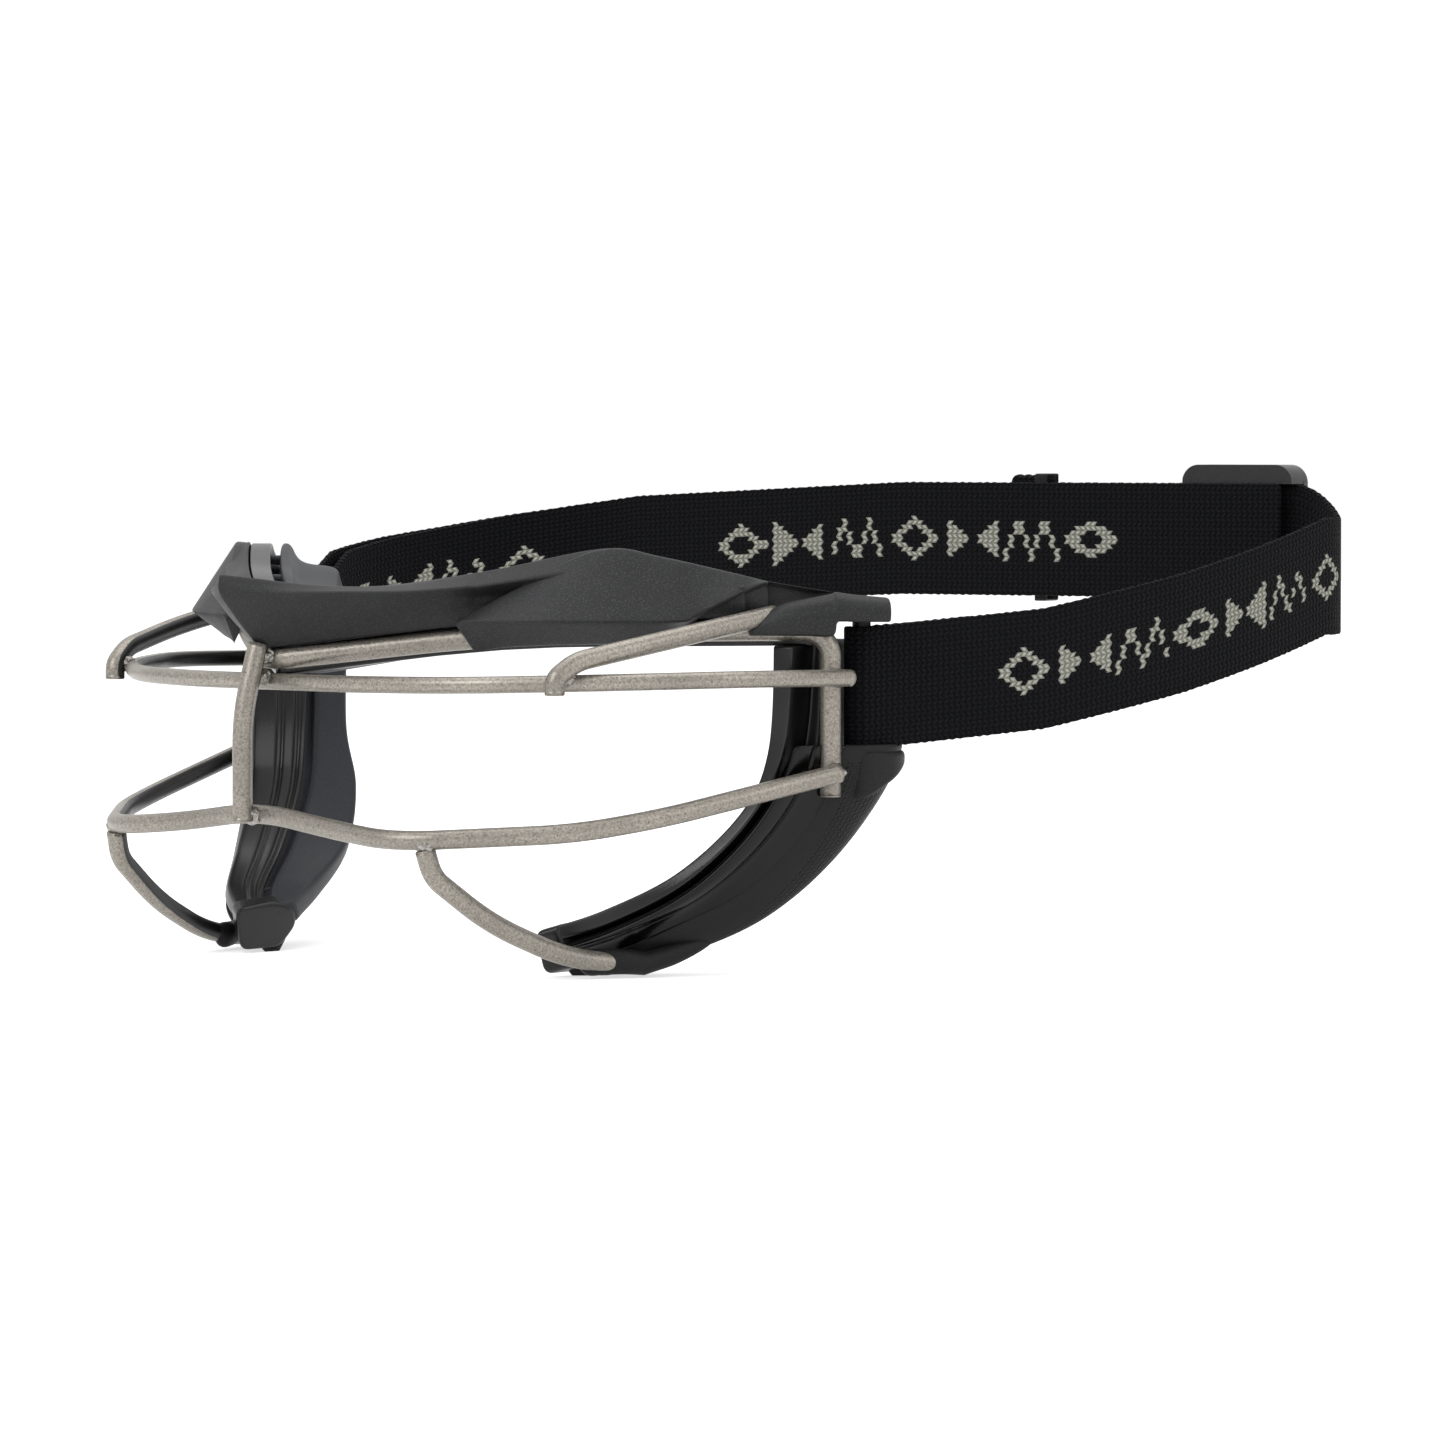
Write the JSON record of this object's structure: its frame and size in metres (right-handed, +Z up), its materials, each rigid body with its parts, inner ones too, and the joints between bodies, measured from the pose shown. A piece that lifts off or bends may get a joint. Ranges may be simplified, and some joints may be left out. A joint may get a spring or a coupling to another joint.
{
  "type": "sports goggles",
  "caption": "Lacrosse goggles: a welded wire cage with moulded brow and cheek shells, cushioned inner frames and an elastic head strap with a slider and a keeper.",
  "frame": {"origin": "under the middle of the whole product's box, on the plane of symmetry of the goggles, at the height of the cheek shells' flat undersides", "axes": "+X to the wearer's left, +Y from the cage to the back of the head, +Z up"},
  "size_m": [0.224, 0.234, 0.1049],
  "materials": {
    "titanium_wire": "satin, grained by rolling",
    "moulded_brow": "matt, finely speckled",
    "moulded_wing": "matt, finely speckled",
    "gloss_frame": "glossy moulded",
    "face_pad": "satin silicone",
    "cheek_rubber": "matt, dotted panel",
    "post_metal": "satin",
    "webbing": "knitted elastic webbing",
    "slider_plastic": "satin moulded",
    "keeper_rubber": "matt"
  },
  "bodies": {
    "goggles": {"main_rail": "titanium_wire", "nose_bar": "titanium_wire", "upper_bar": "titanium_wire", "lower_bar": "titanium_wire", "upper_strut_left": "titanium_wire", "upper_strut_right": "titanium_wire", "lower_strut_left": "titanium_wire", "lower_strut_right": "titanium_wire", "brow_shell": "moulded_brow", "temple_cap_left": "moulded_brow", "temple_cap_right": "moulded_brow", "wing_panel_left": "moulded_wing", "wing_panel_right": "moulded_wing", "brow_frame": "gloss_frame", "cheek_frame_left": "gloss_frame", "cheek_frame_right": "gloss_frame", "brow_pad": "face_pad", "brow_pad_posts": "face_pad", "cheek_pad_left": "face_pad", "cheek_pad_right": "face_pad", "cheek_pad_posts_left": "face_pad", "cheek_pad_posts_right": "face_pad", "cheek_shell_left": "cheek_rubber", "cheek_shell_right": "cheek_rubber", "strap_post_left": "post_metal", "strap_post_right": "post_metal", "strap_near_run": "webbing", "strap_near_loop": "webbing", "strap_near_tab": "webbing", "strap_rear_turn": "webbing", "strap_far_run": "webbing", "strap_far_slope": "webbing", "strap_far_turn": "webbing", "strap_far_loop": "webbing", "strap_return_turn": "webbing", "strap_return_slope": "webbing", "strap_return_run": "webbing", "strap_tail": "webbing", "strap_hem": "webbing"},
    "slider": {"slider": "slider_plastic"},
    "keeper": {"keeper_ring": "keeper_rubber"}
  },
  "joints": [
    {"name": "slider_slide", "type": "slide", "parent": "goggles", "child": "slider", "axis": [-0.9659, -0.2588, 0], "range_m": [0, 0.014]},
    {"name": "keeper_slide", "type": "slide", "parent": "goggles", "child": "keeper", "axis": [-0.9659, -0.2588, 0], "range_m": [-0.018, 0.0008]}
  ]
}
